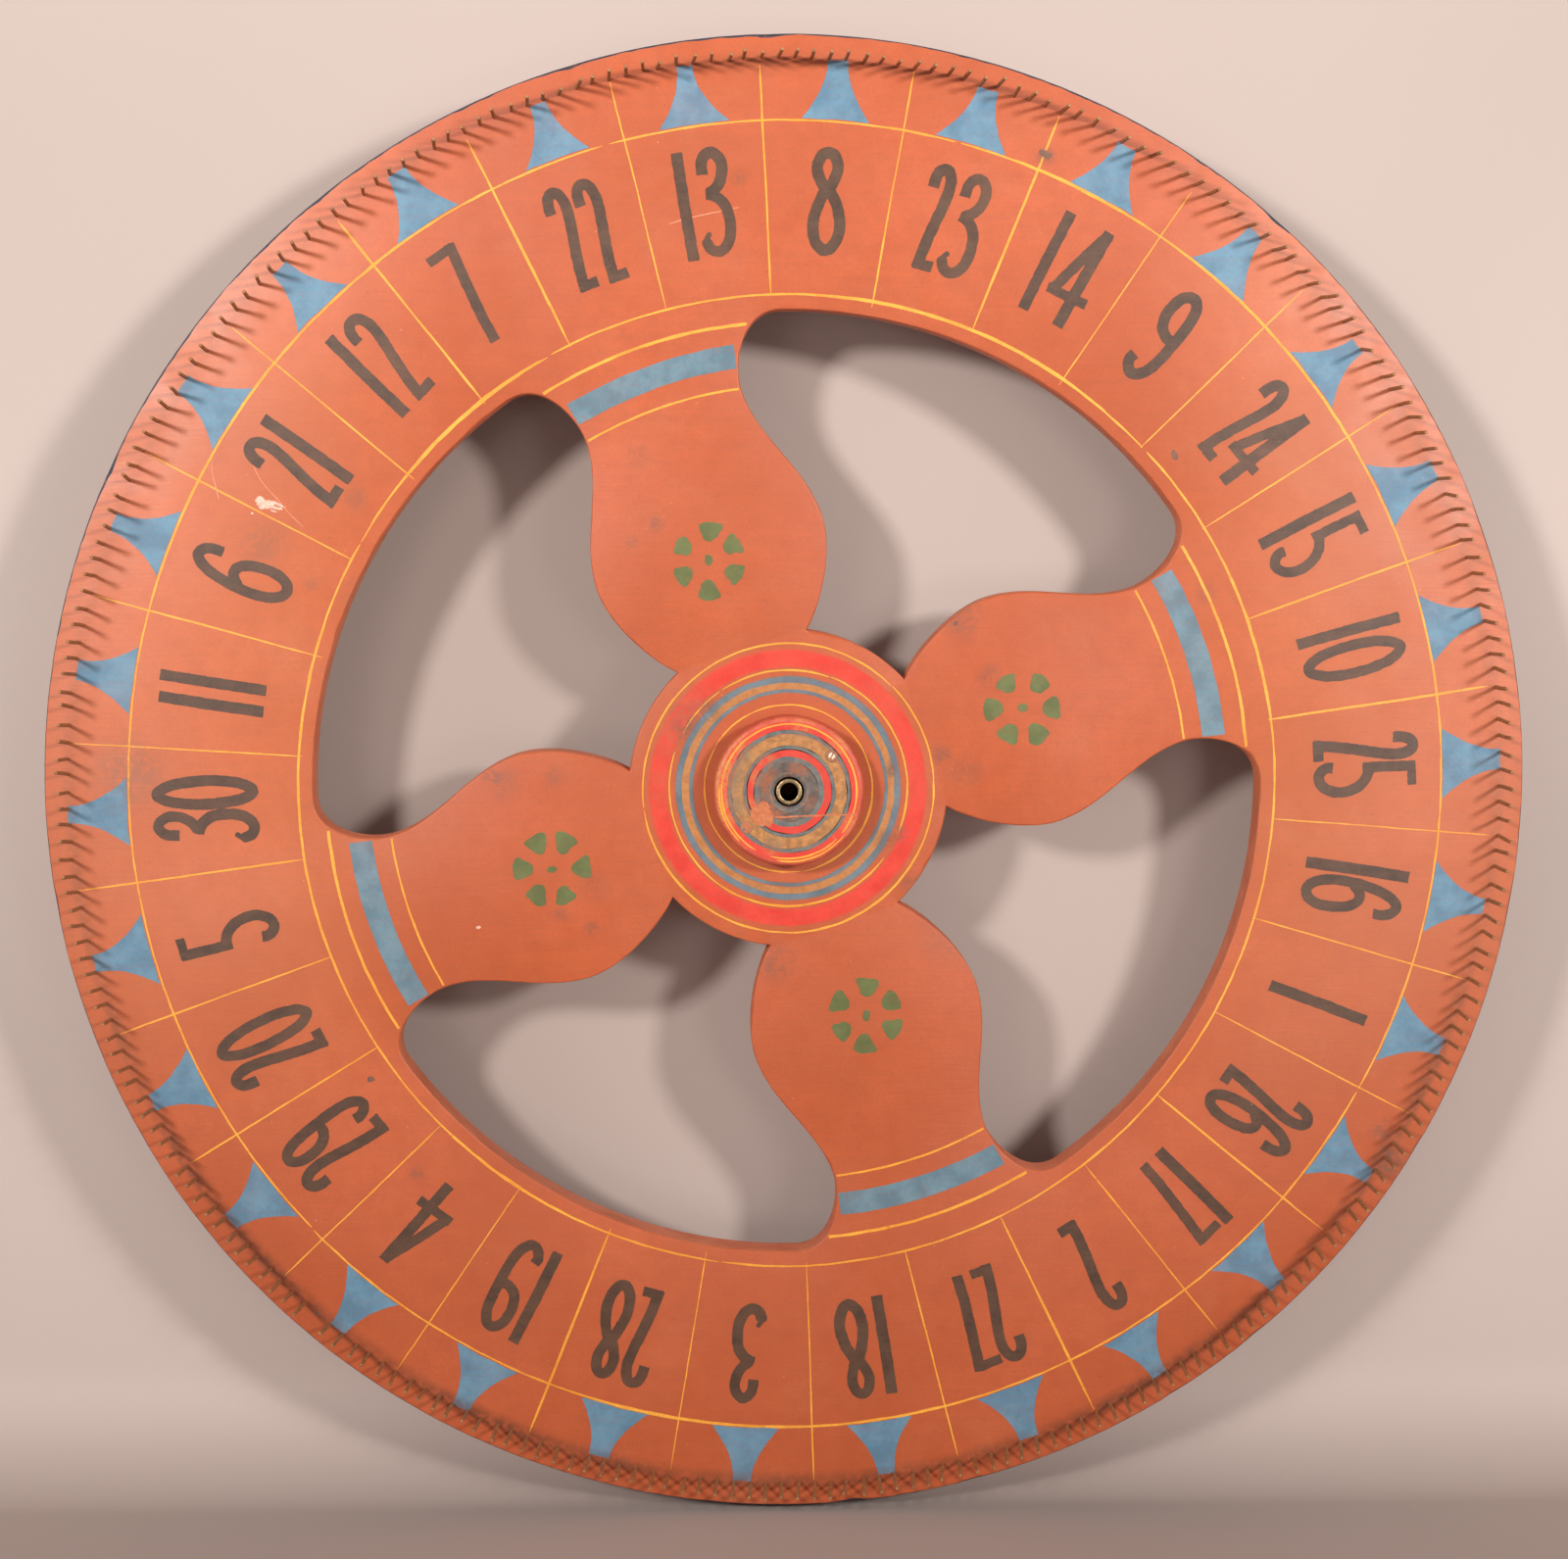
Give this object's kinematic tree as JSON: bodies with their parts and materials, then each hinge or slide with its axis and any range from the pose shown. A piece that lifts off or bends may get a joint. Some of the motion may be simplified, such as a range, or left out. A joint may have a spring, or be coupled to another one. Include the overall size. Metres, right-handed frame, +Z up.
{
  "type": "carnival game wheel",
  "caption": "Painted wooden carnival game wheel with numbered sectors, shaped spokes, a screwed-on hub boss, a metal axle sleeve and a ring of headless nails for a flapper.",
  "frame": {"origin": "centre of the wheel board's thickness, on the axle's centre line", "axes": "+Z up with the number 8 sector at the top, +X to the right of a player who faces the wheel, +Y from the painted face to the back, along the axle"},
  "size_m": [0.9144, 0.051, 0.9144],
  "materials": {
    "board_paint": "brick-red oil paint on wood, satin, worn and scuffed",
    "boss_paint": "bright red oil paint on turned wood, satin, worn through at the edge",
    "sleeve_metal": "dull, tarnished",
    "screw_metal": "old slotted screw, painted over and chipped",
    "nail_metal": "brown with rust, matt",
    "paint_yellow": "hand-drawn yellow striping paint, satin",
    "paint_blue": "light blue sign paint, satin",
    "paint_green": "stencilled green paint, matt",
    "paint_dark": "dark brown sign paint, worn, matt"
  },
  "bodies": {
    "axle": {"axle_sleeve": "sleeve_metal"},
    "wheel": {"wheel_board": "board_paint", "hub_boss": "boss_paint", "boss_screw_upper": "screw_metal", "boss_screw_lower": "screw_metal", "nails_sector_01": "nail_metal", "nails_sector_02": "nail_metal", "nails_sector_03": "nail_metal", "nails_sector_04": "nail_metal", "nails_sector_05": "nail_metal", "nails_sector_06": "nail_metal", "nails_sector_07": "nail_metal", "nails_sector_08": "nail_metal", "nails_sector_09": "nail_metal", "nails_sector_10": "nail_metal", "nails_sector_11": "nail_metal", "nails_sector_12": "nail_metal", "nails_sector_13": "nail_metal", "nails_sector_14": "nail_metal", "nails_sector_15": "nail_metal", "nails_sector_16": "nail_metal", "nails_sector_17": "nail_metal", "nails_sector_18": "nail_metal", "nails_sector_19": "nail_metal", "nails_sector_20": "nail_metal", "nails_sector_21": "nail_metal", "nails_sector_22": "nail_metal", "nails_sector_23": "nail_metal", "nails_sector_24": "nail_metal", "nails_sector_25": "nail_metal", "nails_sector_26": "nail_metal", "nails_sector_27": "nail_metal", "nails_sector_28": "nail_metal", "nails_sector_29": "nail_metal", "nails_sector_30": "nail_metal"}
  },
  "joints": [
    {"name": "wheel_spin", "type": "hinge", "parent": "axle", "child": "wheel", "pos_m": [0, 0, 0], "axis": [0, 1, 0], "continuous": true}
  ]
}
